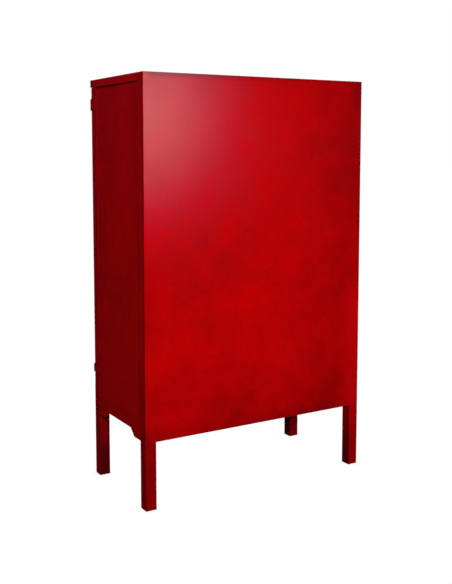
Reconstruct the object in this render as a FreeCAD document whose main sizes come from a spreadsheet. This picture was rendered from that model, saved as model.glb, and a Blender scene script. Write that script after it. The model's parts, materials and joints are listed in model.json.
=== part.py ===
import FreeCAD, Part
import os
import Sketcher
from FreeCAD import Vector, Rotation

# Two-door lacquered armoire on four straight legs.
# +Z is up, the doors face -Y, +X is to the right of someone facing the doors.
# The origin is on the floor, in the middle of the overall outline. Millimetres.

doc = FreeCAD.newDocument("armoire")
sheet = doc.addObject("Spreadsheet::Sheet", "Dimensions")

DIMS = [
    ("width_all", 1057, "case width over the posts"),
    ("depth_all", 492, "front face of the posts to the back face"),
    ("height_all", 1700, "floor to top"),
    ("post_side", 46, "square section of posts and legs"),
    ("top_thick", 31, "thickness of the top frame"),
    ("top_lip", 8, "top frame beyond the door faces"),
    ("top_rear_wide", 42, "width of the rear rail of the top frame"),
    ("back_thick", 12, "back board"),
    ("back_low", 272, "lower edge of back board and of the apron brackets"),
    ("apron_mid", 301, "lower edge of the aprons between the brackets"),
    ("rail_top", 343, "top of the aprons"),
    ("rail_thick", 24, "thickness of aprons and rails"),
    ("bracket_flat", 57, "level part of a bracket"),
    ("bracket_run", 32, "sloping part of a bracket"),
    ("bracket_round", 5, "rounding at the ends of the slope"),
    ("bracket_thick", 12, "thickness of the brackets below the aprons"),
    ("panel_recess", 7, "side panel behind the post faces"),
    ("panel_thick", 10, "side panel thickness"),
    ("groove_deep", 8, "depth of the panel grooves"),
    ("floor_low", 329, "underside of the floor panel"),
    ("floor_thick", 10, "floor panel thickness"),
    ("floor_groove", 5, "depth of the floor panel groove"),
    ("sill_top", 396, "top of the front bottom rail"),
    ("edge_round", 2, "softened outer edges"),
    ("fit_gap", 0.2, "clearance of tongues and tenons"),
    ("tenon_long", 18, "tenon length"),
    ("tenon_thick", 12, "tenon thickness"),
    ("shelf_thick", 18, "shelf thickness"),
    ("shelf_one", 800, "top of the lower shelf"),
    ("shelf_two", 1230, "top of the upper shelf"),
    ("cleat_wide", 20, "cleat width"),
    ("cleat_tall", 26, "cleat height"),
    ("door_thick", 22, "door thickness"),
    ("door_low", 398, "lower edge of the doors"),
    ("door_gap", 1.5, "gap over the doors"),
    ("meet_gap", 1, "half of the gap between the doors"),
    ("edge_clear", 0.8, "door edge inside the side plane"),
    ("rebate_gap", 0.5, "gap between door and post"),
    ("stile_wide", 58, "door stiles"),
    ("door_rail", 72, "door rails"),
    ("door_board", 14, "door panel thickness"),
    ("door_tongue", 7.5, "panel tongue"),
    ("batten_tall", 60, "door batten height"),
    ("batten_one", 660, "lower batten"),
    ("batten_two", 1350, "upper batten"),
    ("barrel_rad", 4.5, "hinge barrel radius"),
    ("barrel_in", 2.7, "hinge axis inside the side plane"),
    ("barrel_out", 4.6, "hinge axis before the door faces"),
    ("pin_rad", 2, "hinge pin radius"),
    ("pin_run", 0.05, "running clearance on the pin"),
    ("pin_tight", 0.02, "clearance of the pin in the fixed knuckles"),
    ("leaf_thick", 1.6, "hinge leaf thickness"),
    ("leaf_long", 42, "hinge leaf length"),
    ("knuckle_gap", 0.3, "gap between knuckles"),
    ("upper_low", 1578, "upper hinge barrel, lower end"),
    ("upper_tall", 40, "upper hinge barrel length"),
    ("upper_tip", 5, "upper hinge finials"),
    ("lower_low", 453.5, "lower hinge barrel, lower end"),
    ("lower_tall", 29, "lower hinge barrel length"),
    ("lower_tip", 3.5, "lower hinge finials"),
    ("nail_rad", 1.2, "nail shank radius"),
    ("nail_long", 9, "nail shank length below the leaf"),
    ("nail_ball", 4.2, "sphere of a nail head"),
    ("nail_bore", 0.05, "clearance round the nails"),
    ("plate_rad", 96, "lock plate radius"),
    ("plate_thick", 2, "lock plate thickness"),
    ("plate_gap", 1.6, "lock plate from the middle line"),
    ("lock_high", 1030, "height of the lock bar"),
    ("lock_reach", 19, "hardware before the door faces"),
    ("eye_out", 11, "lock bar axis before the door faces"),
    ("eye_rad", 8, "lock eye outer radius"),
    ("eye_bore", 4.4, "lock eye hole radius"),
    ("eye_thick", 5, "lock eye thickness"),
    ("eye_near", 16, "first lock eye from the middle line"),
    ("eye_far", 48, "second lock eye from the middle line"),
    ("shank_rad", 2.4, "shank radius of eyes and staples"),
    ("shank_bore", 0.15, "clearance round the shanks"),
    ("shank_long", 14, "shank length into the door"),
    ("bar_rad", 3.2, "lock bar radius"),
    ("bar_long", 122, "lock bar length"),
    ("bar_start", 4, "end of the drawn-back bar from the middle line"),
    ("knob_rad", 6, "lock bar knob"),
    ("pull_off", 46, "pull from the middle line"),
    ("pull_drop", 34, "pull axis below the lock bar"),
    ("pull_pin", 1.5, "pull pin radius"),
    ("pull_out", 10, "pull axis before the door faces"),
    ("ear_rad", 4, "staple ear radius"),
    ("ear_in", 3.8, "inner face of the staple ears"),
    ("ear_thick", 2.6, "staple ear thickness"),
    ("loop_rad", 3.2, "pull loop outer radius"),
    ("loop_half", 3.4, "half length of the pull loop"),
    ("pull_long", 62, "pull length below its axis"),
    ("pull_thick", 3, "pull thickness"),
]
for row, (alias, value, note) in enumerate(DIMS, 1):
    sheet.set("A%d" % row, alias)
    sheet.set("B%d" % row, str(value))
    sheet.setAlias("B%d" % row, alias)
    sheet.set("C%d" % row, note)
doc.recompute()


class Q:
    """A length: its number and the sheet expression it comes from."""

    def __init__(self, num, text):
        self.num = float(num)
        self.text = text

    @staticmethod
    def of(v):
        return v if isinstance(v, Q) else Q(v, "(%r)" % float(v))

    def __add__(self, o):
        o = Q.of(o)
        return Q(self.num + o.num, "(%s + %s)" % (self.text, o.text))

    def __radd__(self, o):
        return Q.of(o) + self

    def __sub__(self, o):
        o = Q.of(o)
        return Q(self.num - o.num, "(%s - %s)" % (self.text, o.text))

    def __rsub__(self, o):
        return Q.of(o) - self

    def __mul__(self, o):
        o = Q.of(o)
        return Q(self.num * o.num, "(%s * %s)" % (self.text, o.text))

    __rmul__ = __mul__

    def __truediv__(self, o):
        o = Q.of(o)
        return Q(self.num / o.num, "(%s / %s)" % (self.text, o.text))

    def __neg__(self):
        return Q(-self.num, "(-1 * %s)" % self.text)


D = {a: Q(v, "Dimensions." + a) for a, v, _ in DIMS}

hw = D["width_all"] / 2
fy = -(D["depth_all"] - D["lock_reach"]) / 2
by = fy + D["depth_all"]
ty = D["height_all"] - D["top_thick"]
post = D["post_side"]
back = by - D["back_thick"]
gap = D["fit_gap"]

NODES = []


def node(label, obj):
    obj.Label = label
    NODES.append((label, obj))
    return obj


def span(a, b):
    a, b = Q.of(a), Q.of(b)
    return (a, b) if a.num <= b.num else (b, a)


def box(name, x, y, z):
    o = doc.addObject("Part::Box", name)
    for prop, axis, pair in (("Length", "x", x), ("Width", "y", y), ("Height", "z", z)):
        a, b = span(*pair)
        o.setExpression(prop, (b - a).text)
        o.setExpression("Placement.Base." + axis, a.text)
    return o


TURN = {
    "x": Rotation(Vector(0, 1, 0), 90),
    "y": Rotation(Vector(1, 0, 0), -90),
    "z": Rotation(),
}


def cyl(name, axis, x, y, z, rad):
    """Cylinder along an axis; the pair among x, y, z is its length."""
    o = doc.addObject("Part::Cylinder", name)
    o.Placement = FreeCAD.Placement(Vector(), TURN[axis])
    o.setExpression("Radius", Q.of(rad).text)
    for ax, v in (("x", x), ("y", y), ("z", z)):
        if ax == axis:
            a, b = span(*v)
            o.setExpression("Height", (b - a).text)
            o.setExpression("Placement.Base." + ax, a.text)
        else:
            o.setExpression("Placement.Base." + ax, Q.of(v).text)
    return o


def fuse(name, *shapes):
    o = doc.addObject("Part::MultiFuse", name)
    o.Shapes = list(shapes)
    o.Refine = True
    return o


def cut(name, base, *tools):
    tool = tools[0] if len(tools) == 1 else fuse(name + "_tools", *tools)
    o = doc.addObject("Part::Cut", name)
    o.Base = base
    o.Tool = tool
    o.Refine = True
    return o


def group(name, *shapes):
    o = doc.addObject("Part::Compound", name)
    o.Links = list(shapes)
    return o


def soften(name, base, radius, keep):
    """Round the edges of base that keep() accepts."""
    doc.recompute()
    picked = [(i, radius, radius) for i, e in enumerate(base.Shape.Edges, 1) if keep(e)]
    if not picked:
        raise RuntimeError("no edge to round on " + name)
    o = doc.addObject("Part::Fillet", name)
    o.Base = base
    o.Edges = picked
    return o


def near(a, b):
    return abs(a - b) < 1e-3


def along(e, **at):
    """True for a straight edge that lies at the given coordinates."""
    bb = e.BoundBox
    for k, v in at.items():
        lo, hi = getattr(bb, k.upper() + "Min"), getattr(bb, k.upper() + "Max")
        if not (near(lo, v) and near(hi, v)):
            return False
    return True


def plane(body, role):
    return [o for o in body.Origin.OriginFeatures if o.Role == role][0]


def outline(body, name, role, corners, offset=None):
    """Closed sketch through the corners, each bound to the sheet."""
    sk = body.newObject("Sketcher::SketchObject", name)
    sk.AttachmentSupport = [(plane(body, role), "")]
    sk.MapMode = "FlatFace"
    pts = [(Q.of(a), Q.of(b)) for a, b in corners]
    n = len(pts)
    for i in range(n):
        p, q = pts[i], pts[(i + 1) % n]
        sk.addGeometry(Part.LineSegment(Vector(p[0].num, p[1].num, 0), Vector(q[0].num, q[1].num, 0)), False)
    for i in range(n):
        sk.addConstraint(Sketcher.Constraint("Coincident", i, 2, (i + 1) % n, 1))
    for i, (a, b) in enumerate(pts):
        c = sk.addConstraint(Sketcher.Constraint("DistanceX", -1, 1, i, 1, a.num))
        sk.setExpression("Constraints[%d]" % c, a.text)
        c = sk.addConstraint(Sketcher.Constraint("DistanceY", -1, 1, i, 1, b.num))
        sk.setExpression("Constraints[%d]" % c, b.text)
    if offset is not None:
        sk.setExpression("AttachmentOffset.Base.z", Q.of(offset).text)
    return sk


def prism(name, role, corners, offset, length, rounds=None):
    """Outline padded along the normal of one of the body's planes."""
    body = doc.addObject("PartDesign::Body", name)
    sk = outline(body, name + "_outline", role, corners, offset)
    pad = body.newObject("PartDesign::Pad", name + "_pad")
    pad.Profile = sk
    pad.setExpression("Length", Q.of(length).text)
    sk.Visibility = False
    if rounds:
        doc.recompute()
        picks = ["Edge%d" % i for i, e in enumerate(pad.Shape.Edges, 1) if rounds(e)]
        f = body.newObject("PartDesign::Fillet", name + "_round")
        f.Base = (pad, picks)
        f.setExpression("Radius", D["bracket_round"].text)
        body.Tip = f
    return body


# ---------------------------------------------------------------- tenons
ten_lo, ten_hi = D["apron_mid"] + 5, D["apron_mid"] + 24
sill_lo, sill_hi = D["sill_top"] - 44, D["sill_top"] - 10
rear_lo, rear_hi = Q.of(308), Q.of(326)
tl = D["tenon_long"]
side_in, side_out = hw - 6 - D["tenon_thick"], hw - 6
front_t0, front_t1 = fy + 8, fy + 8 + D["tenon_thick"]
rear_t1 = back - 6
rear_t0 = rear_t1 - D["tenon_thick"]
pan_out = hw - D["panel_recess"]
pan_in = pan_out - D["panel_thick"]
head = Q.of(12)

HINGES = [
    ("upper", D["upper_low"], D["upper_tall"], D["upper_tip"]),
    ("lower", D["lower_low"], D["lower_tall"], D["lower_tip"]),
]
nail_y = fy + 34
door_nail_in = (Q.of(15), Q.of(32))


def hinge_nail_heights(low, tall):
    return (low + tall * 0.22, low + tall * 0.78)


for s, side in ((1, "right"), (-1, "left")):
    def X(a, b, s=s):
        return (s * Q.of(a), s * Q.of(b))

    # ------------------------------------------------------------ front post
    n = "front_%s_post" % side
    blank = fuse(
        n + "_blank",
        box(n + "_block", X(hw - post, hw), (fy, fy + post), (0, ty)),
        box(n + "_tenon", X(hw - 34 + gap, hw - 12 - gap), (fy + 26 + gap, fy + 42 - gap), (ty - 2, ty + head - gap)),
    )
    tools = [
        box(n + "_door_rebate", X(hw - post - 2, hw + 2), (fy - 2, fy + D["door_thick"] + D["rebate_gap"]), (D["sill_top"], ty)),
        box(n + "_panel_groove", X(pan_in, pan_out), (fy + post - D["groove_deep"], fy + post + 2), (D["rail_top"] - D["groove_deep"], ty)),
        box(n + "_side_mortise", X(side_in, side_out), (fy + post - tl - 0.5, fy + post + 2), (ten_lo, ten_hi)),
        box(n + "_apron_mortise", X(hw - post - 2, hw - post + tl + 0.5), (front_t0, front_t1), (ten_lo, ten_hi)),
        box(n + "_sill_mortise", X(hw - post - 2, hw - post + tl + 0.5), (front_t0, front_t1), (sill_lo, sill_hi)),
    ]
    for hn, low, tall, tip in HINGES:
        for k, hz in enumerate(hinge_nail_heights(low, tall)):
            tools.append(cyl("%s_%s_pilot_%d" % (n, hn, k), "x", X(hw + 2, hw - D["nail_long"] - 1), nail_y, hz, D["nail_rad"] + D["nail_bore"]))
    body = cut(n + "_cut", blank, *tools)
    edge = soften(n, body, D["edge_round"].num, lambda e, s=s: along(e, x=s * hw.num, y=fy.num))
    node(n, edge)

    # ------------------------------------------------------------ rear post
    n = "rear_%s_post" % side
    blank = fuse(
        n + "_blank",
        box(n + "_block", X(hw - post, hw), (by - post, by), (0, ty)),
        box(n + "_tenon", X(hw - 34 + gap, hw - 12 - gap), (by - 40 + gap, by - 24 - gap), (ty - 2, ty + head - gap)),
    )
    body = cut(
        n + "_cut",
        blank,
        box(n + "_back_rebate", X(hw - post - 2, hw + 2), (back, by + 2), (D["back_low"], ty)),
        box(n + "_panel_groove", X(pan_in, pan_out), (by - post - 2, by - post + D["groove_deep"]), (D["rail_top"] - D["groove_deep"], ty)),
        box(n + "_side_mortise", X(side_in, side_out), (by - post - 2, by - post + tl + 0.5), (ten_lo, ten_hi)),
        box(n + "_rail_mortise", X(hw - post - 2, hw - post + tl + 0.5), (rear_t0, rear_t1), (rear_lo, rear_hi)),
    )
    edge = soften(n, body, D["edge_round"].num, lambda e, s=s: along(e, x=s * hw.num, y=by.num))
    node(n, edge)

    # ------------------------------------------------------------ side apron
    n = "%s_side_apron" % side
    y1, y2 = fy + post, by - post
    f, r = D["bracket_flat"], D["bracket_run"]
    lo, mid, top = D["back_low"], D["apron_mid"], D["rail_top"]
    shape = [(y1, top), (y1, lo), (y1 + f, lo), (y1 + f + r, mid), (y2 - f - r, mid), (y2 - f, lo), (y2, lo), (y2, top)]
    start = hw - D["rail_thick"] if s > 0 else -hw

    def bracket_edge(e, y1=y1, y2=y2, f=f, r=r):
        bb = e.BoundBox
        return bb.XLength > 5 and any(near(bb.YMin, v) and near(bb.YMax, v) for v in (
            (y1 + f).num, (y1 + f + r).num, (y2 - f - r).num, (y2 - f).num))

    blade = prism(n + "_board", "YZ_Plane", shape, start, D["rail_thick"], bracket_edge)
    whole = fuse(
        n + "_whole",
        blade,
        box(n + "_front_tenon", X(side_in + gap, side_out - gap), (y1 - tl, y1 + 2), (ten_lo + gap, ten_hi - gap)),
        box(n + "_rear_tenon", X(side_in + gap, side_out - gap), (y2 - 2, y2 + tl), (ten_lo + gap, ten_hi - gap)),
    )
    node(n, cut(
        n,
        whole,
        box(n + "_panel_groove", X(pan_in, pan_out), (y1 - 2, y2 + 2), (top - D["groove_deep"], top + 2)),
        box(n + "_floor_groove", X(hw - D["rail_thick"] - 2, hw - D["rail_thick"] + D["floor_groove"]), (y1 - 2, y2 + 2), (D["floor_low"], D["floor_low"] + D["floor_thick"])),
        box(n + "_bracket_back", X(hw - D["rail_thick"] - 2, hw - D["bracket_thick"]), (y1 - 2, y2 + 2), (lo - 2, mid + 3)),
    ))

    # ------------------------------------------------------------ side panel
    n = "%s_side_panel" % side
    top_end = back - D["top_rear_wide"]
    node(n, fuse(
        n,
        box(n + "_field", X(pan_in + gap, pan_out - gap), (fy + post - D["groove_deep"] + 0.5, by - post + D["groove_deep"] - 0.5), (D["rail_top"] - D["groove_deep"] + 0.5, ty - 0.5)),
        box(n + "_tongue", X(pan_in + gap, pan_out - gap), (fy + post + 1, top_end - 1), (ty - 3, ty + D["groove_deep"] - 0.5)),
    ))

    # ------------------------------------------------------------ top side rail
    n = "top_%s_rail" % side
    whole = fuse(
        n + "_whole",
        box(n + "_bar", X(hw - post, hw), (fy + post, top_end), (ty, D["height_all"])),
        box(n + "_front_tenon", X(hw - 32 + gap, hw - 14 - gap), (fy + post - tl, fy + post + 2), (ty + 14 + gap, ty + 24 - gap)),
        box(n + "_rear_tenon", X(hw - 32 + gap, hw - 14 - gap), (top_end - 2, top_end + tl), (ty + 14 + gap, ty + 24 - gap)),
    )
    body = cut(
        n + "_cut",
        whole,
        box(n + "_side_groove", X(pan_in, pan_out), (fy + post - 1, top_end + 1), (ty - 2, ty + D["groove_deep"])),
        box(n + "_top_groove", X(hw - post - 2, hw - post + D["groove_deep"]), (fy + post - 1, top_end + 1), (ty + 14, ty + 20)),
    )
    node(n, body)

# ---------------------------------------------------------------- front apron and rails
n = "front_apron"
x1 = hw - post
f, r = D["bracket_flat"], D["bracket_run"]
lo, mid, top = D["back_low"], D["apron_mid"], D["rail_top"]
fa0 = fy + 1
fa1 = fa0 + D["rail_thick"]
shape = [(-x1, top), (-x1, lo), (-x1 + f, lo), (-x1 + f + r, mid), (x1 - f - r, mid), (x1 - f, lo), (x1, lo), (x1, top)]


def front_bracket_edge(e):
    bb = e.BoundBox
    return bb.YLength > 5 and any(near(abs(bb.XMin), v) and near(abs(bb.XMax), v) for v in ((x1 - f).num, (x1 - f - r).num))


blade = prism(n + "_board", "XZ_Plane", shape, -fa1, D["rail_thick"], front_bracket_edge)
whole = fuse(
    n + "_whole",
    blade,
    box(n + "_left_tenon", (-x1 - tl, -x1 + 2), (front_t0 + gap, front_t1 - gap), (ten_lo + gap, ten_hi - gap)),
    box(n + "_right_tenon", (x1 - 2, x1 + tl), (front_t0 + gap, front_t1 - gap), (ten_lo + gap, ten_hi - gap)),
)
node(n, cut(
    n, whole,
    box(n + "_floor_groove", (-x1 - 2, x1 + 2), (fa1 - D["floor_groove"], fa1 + 2), (D["floor_low"], D["floor_low"] + D["floor_thick"])),
    box(n + "_bracket_back", (-x1 - 2, x1 + 2), (fa0 + D["bracket_thick"], fa1 + 2), (lo - 2, mid + 3)),
))

n = "front_bottom_rail"
node(n, fuse(
    n,
    box(n + "_bar", (-x1, x1), (fa0, fa1), (D["rail_top"], D["sill_top"])),
    box(n + "_left_tenon", (-x1 - tl, -x1 + 2), (front_t0 + gap, front_t1 - gap), (sill_lo + gap, sill_hi - gap)),
    box(n + "_right_tenon", (x1 - 2, x1 + tl), (front_t0 + gap, front_t1 - gap), (sill_lo + gap, sill_hi - gap)),
))

n = "rear_bottom_rail"
rr0 = back - D["rail_thick"]
whole = fuse(
    n + "_whole",
    box(n + "_bar", (-x1, x1), (rr0, back), (D["apron_mid"], D["rail_top"])),
    box(n + "_left_tenon", (-x1 - tl, -x1 + 2), (rear_t0 + gap, rear_t1 - gap), (rear_lo + gap, rear_hi - gap)),
    box(n + "_right_tenon", (x1 - 2, x1 + tl), (rear_t0 + gap, rear_t1 - gap), (rear_lo + gap, rear_hi - gap)),
)
node(n, cut(
    n, whole,
    box(n + "_floor_groove", (-x1 - 2, x1 + 2), (rr0 - 2, rr0 + D["floor_groove"]), (D["floor_low"], D["floor_low"] + D["floor_thick"])),
))

# ---------------------------------------------------------------- floor panel, notched round the posts
n = "floor_panel"
fx = hw - D["rail_thick"] + D["floor_groove"] - 0.5
fl0, fl1 = D["floor_low"] + gap, D["floor_low"] + D["floor_thick"] - gap
node(n, fuse(
    n,
    box(n + "_field", (-fx, fx), (fy + post + 0.3, by - post - 0.3), (fl0, fl1)),
    box(n + "_front_tongue", (-x1 + 0.3, x1 - 0.3), (fa1 - D["floor_groove"] + 0.5, fy + post + 4), (fl0, fl1)),
    box(n + "_rear_tongue", (-x1 + 0.3, x1 - 0.3), (by - post - 4, rr0 + D["floor_groove"] - 0.5), (fl0, fl1)),
))

# ---------------------------------------------------------------- back board
n = "back_panel"
board = box(n + "_board", (-hw, hw), (back, by), (D["back_low"], D["height_all"]))
node(n, soften(n, board, D["edge_round"].num, lambda e: along(e, x=hw.num, y=by.num) or along(e, x=-hw.num, y=by.num)))

# ---------------------------------------------------------------- top frame
top_end = back - D["top_rear_wide"]
n = "top_front_rail"
tools = [box(n + "_panel_groove", (-hw + post - D["groove_deep"], hw - post + D["groove_deep"]), (fy + post - D["groove_deep"], fy + post + 2), (ty + 14, ty + 20))]
for s, side in ((1, "right"), (-1, "left")):
    tools.append(box("%s_%s_post_mortise" % (n, side), (s * (hw - 34), s * (hw - 12)), (fy + 26, fy + 42), (ty - 2, ty + head)))
    tools.append(box("%s_%s_rail_mortise" % (n, side), (s * (hw - 32), s * (hw - 14)), (fy + post - tl - 0.5, fy + post + 2), (ty + 14, ty + 24)))
body = cut(n + "_cut", box(n + "_bar", (-hw, hw), (fy - D["top_lip"], fy + post), (ty, D["height_all"])), *tools)
node(n, soften(n, body, D["edge_round"].num, lambda e: along(e, y=(fy - D["top_lip"]).num, z=D["height_all"].num)
               or along(e, y=(fy - D["top_lip"]).num, z=ty.num)))

n = "top_rear_rail"
tools = [box(n + "_panel_groove", (-hw + post - D["groove_deep"], hw - post + D["groove_deep"]), (top_end - 2, top_end + D["groove_deep"]), (ty + 14, ty + 20))]
for s, side in ((1, "right"), (-1, "left")):
    tools.append(box("%s_%s_post_mortise" % (n, side), (s * (hw - 34), s * (hw - 12)), (by - 40, by - 24), (ty - 2, ty + head)))
    tools.append(box("%s_%s_rail_mortise" % (n, side), (s * (hw - 32), s * (hw - 14)), (top_end - 2, top_end + tl + 0.5), (ty + 14, ty + 24)))
node(n, cut(n, box(n + "_bar", (-hw, hw), (top_end, back), (ty, D["height_all"])), *tools))

n = "top_panel"
node(n, fuse(
    n,
    box(n + "_field", (-x1 + 0.3, x1 - 0.3), (fy + post + 0.3, top_end - 0.3), (ty + 14 + gap, D["height_all"] - 0.6)),
    box(n + "_tongue", (-x1 - D["groove_deep"] + 0.5, x1 + D["groove_deep"] - 0.5), (fy + post - D["groove_deep"] + 0.5, top_end + D["groove_deep"] - 0.5), (ty + 14 + gap, ty + 20 - gap)),
))

# ---------------------------------------------------------------- shelves on cleats
sx = pan_in - 1.5
cleats = []
for name, level in (("lower_shelf", D["shelf_one"]), ("upper_shelf", D["shelf_two"])):
    node(name, box(name, (-sx, sx), (fy + post + 2, by - post - 2), (level - D["shelf_thick"], level)))
    for s, side in ((1, "right"), (-1, "left")):
        cleats.append(box("%s_%s_cleat" % (name, side), (s * (pan_in - D["cleat_wide"]), s * pan_in), (fy + post, by - post),
                          (level - D["shelf_thick"] - D["cleat_tall"], level - D["shelf_thick"])))
node("shelf_cleats", group("shelf_cleats", *cleats))

# ---------------------------------------------------------------- doors
door_top = ty - D["door_gap"]
dl = D["door_low"]
dy0, dy1 = fy, fy + D["door_thick"]
dx0 = D["meet_gap"]
dx1 = hw - D["edge_clear"]
ix0 = dx0 + D["stile_wide"]
ix1 = dx1 - D["stile_wide"]
groove_y = (fy + 6.8, fy + 12.2)
tongue_y = (fy + 7, fy + 12)
dt_y = (fy + 6, fy + 16)
dt = Q.of(22)
lock = D["lock_high"]
pull_z = lock - D["pull_drop"]
ax, ay = hw - D["barrel_in"], fy - D["barrel_out"]
plate_y = fy - D["plate_thick"]
NAILS_ON_PLATE = ((12, 86), (48, 72.5), (74, 46), (87, 0), (74, -46), (48, -72.5), (12, -86))


def cap(name, axis, sign, x, y, z):
    """Shallow domed nail head with its flat side at the given point."""
    o = doc.addObject("Part::Sphere", name)
    o.setExpression("Radius", D["nail_ball"].text)
    o.Angle1 = 45
    turn = {("x", 1): Rotation(Vector(0, 1, 0), 90), ("x", -1): Rotation(Vector(0, 1, 0), -90),
            ("y", -1): Rotation(Vector(1, 0, 0), 90)}[(axis, sign)]
    o.Placement = FreeCAD.Placement(Vector(), turn)
    sunk = D["nail_ball"] * 0.70710678
    for key, v in (("x", x), ("y", y), ("z", z)):
        v = Q.of(v)
        if key == axis:
            v = v - sign * sunk
        o.setExpression("Placement.Base." + key, v.text)
    return o


for s, side in ((1, "right"), (-1, "left")):
    def X(a, b, s=s):
        return (s * Q.of(a), s * Q.of(b))

    rails = ((door_top - D["door_rail"], door_top), (dl, dl + D["door_rail"]))
    inner_lo, inner_hi = dl + D["door_rail"], door_top - D["door_rail"]
    mort = [((z0 + 14), (z1 - 14)) for z0, z1 in rails]

    # stile at the hinges
    n = "%s_door_hinge_stile" % side
    tools = [box(n + "_groove", X(ix1 - 2, ix1 + D["groove_deep"]), groove_y, (inner_lo - D["groove_deep"], inner_hi + D["groove_deep"]))]
    for k, (z0, z1) in enumerate(mort):
        tools.append(box("%s_mortise_%d" % (n, k), X(ix1 - 2, ix1 + dt + 0.5), dt_y, (z0, z1)))
    for hn, low, tall, tip in HINGES:
        for k, hz in enumerate(hinge_nail_heights(low, tall)):
            for j, inn in enumerate(door_nail_in):
                tools.append(cyl("%s_%s_pilot_%d%d" % (n, hn, k, j), "y", s * (hw - inn), (fy - 2, fy + D["nail_long"] + 1), hz, D["nail_rad"] + D["nail_bore"]))
    body = cut(n + "_cut", box(n + "_bar", X(ix1, dx1), (dy0, dy1), (dl, door_top)), *tools)
    node(n, soften(n, body, 1.5, lambda e, s=s: along(e, x=s * dx1.num, y=dy0.num)))

    # stile at the middle
    n = "%s_door_meeting_stile" % side
    tools = [box(n + "_groove", X(ix0 - D["groove_deep"], ix0 + 2), groove_y, (inner_lo - D["groove_deep"], inner_hi + D["groove_deep"]))]
    for k, (z0, z1) in enumerate(mort):
        tools.append(box("%s_mortise_%d" % (n, k), X(ix0 - dt - 0.5, ix0 + 2), dt_y, (z0, z1)))
    sb = D["shank_rad"] + D["shank_bore"]
    for k, ex in enumerate((D["eye_near"], D["eye_far"])):
        tools.append(cyl("%s_eye_hole_%d" % (n, k), "y", s * ex, (fy - 2, fy + D["shank_long"] + 1), lock, sb))
    tools.append(cyl(n + "_pull_hole", "y", s * D["pull_off"], (fy - 2, fy + D["shank_long"] + 1), pull_z, sb))
    for k, (px, pz) in enumerate(NAILS_ON_PLATE):
        if px < 56:
            tools.append(cyl("%s_nail_hole_%d" % (n, k), "y", s * Q.of(px), (fy - 2, fy + D["nail_long"] + 1), lock + pz, D["nail_rad"] + D["nail_bore"]))
    body = cut(n + "_cut", box(n + "_bar", X(dx0, ix0), (dy0, dy1), (dl, door_top)), *tools)
    node(n, soften(n, body, 1.0, lambda e, s=s: along(e, x=s * dx0.num, y=dy0.num)))

    # rails
    for rn, (z0, z1), gz, (m0, m1) in (("top", rails[0], (rails[0][0] - 2, rails[0][0] + D["groove_deep"]), mort[0]),
                                       ("bottom", rails[1], (rails[1][1] - D["groove_deep"], rails[1][1] + 2), mort[1])):
        n = "%s_door_%s_rail" % (side, rn)
        whole = fuse(
            n + "_whole",
            box(n + "_bar", X(ix0, ix1), (dy0, dy1), (z0, z1)),
            box(n + "_tenon_in", X(ix0 - dt, ix0 + 2), (dt_y[0] + gap, dt_y[1] - gap), (m0 + gap, m1 - gap)),
            box(n + "_tenon_out", X(ix1 - 2, ix1 + dt), (dt_y[0] + gap, dt_y[1] - gap), (m0 + gap, m1 - gap)),
        )
        node(n, cut(n, whole, box(n + "_groove", X(ix0 - 1, ix1 + 1), groove_y, gz)))

    # panel, flush in front, with battens behind
    n = "%s_door_panel" % side
    tg = D["door_tongue"]
    whole = fuse(
        n + "_whole",
        box(n + "_field", X(ix0 + 0.3, ix1 - 0.3), (fy + 0.4, fy + D["door_board"]), (inner_lo + 0.3, inner_hi - 0.3)),
        box(n + "_tongue", X(ix0 - tg, ix1 + tg), tongue_y, (inner_lo - tg, inner_hi + tg)),
    )
    tools = []
    for k, (px, pz) in enumerate(NAILS_ON_PLATE):
        if px > 62:
            tools.append(cyl("%s_nail_hole_%d" % (n, k), "y", s * Q.of(px), (fy - 2, fy + D["nail_long"] + 1), lock + pz, D["nail_rad"] + D["nail_bore"]))
    node(n, cut(n, whole, *tools))
    n = "%s_door_battens" % side
    node(n, group(n, *[box("%s_%d" % (n, k), X(ix0 + 0.3, ix1 - 0.3), (fy + D["door_board"], dy1), (z, z + D["batten_tall"]))
                       for k, z in enumerate((D["batten_one"], D["batten_two"]))]))

    # hinges
    post_nails, door_nails = [], []
    for hn, low, tall, tip in HINGES:
        base = "%s_%s_hinge" % (side, hn)
        third = tall * 0.3
        kz = [(low, low + third), (low + third + D["knuckle_gap"], low + tall - third - D["knuckle_gap"]), (low + tall - third, low + tall)]
        zs = hinge_nail_heights(low, tall)
        # fixed leaf, over the door edge and along the side of the post
        n = base + "_post_leaf"
        whole = fuse(
            n + "_whole",
            cyl(n + "_knuckle_a", "z", s * ax, ay, kz[0], D["barrel_rad"]),
            cyl(n + "_knuckle_b", "z", s * ax, ay, kz[2], D["barrel_rad"]),
            box(n + "_plate", X(hw, hw + D["leaf_thick"]), (ay, fy + 44), (low, low + tall)),
        )
        node(n, cut(
            n, whole,
            cyl(n + "_bore", "z", s * ax, ay, (low - 1, low + tall + 1), D["pin_rad"] + D["pin_tight"]),
            box(n + "_clear", X(hw - 9, hw + 4), (ay - 7, ay + 5.2), (kz[0][1], kz[2][0])),
            *[cyl("%s_hole_%d" % (n, k), "x", X(hw - 1, hw + 3), nail_y, hz, D["nail_rad"] + D["nail_bore"]) for k, hz in enumerate(zs)]
        ))
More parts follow.
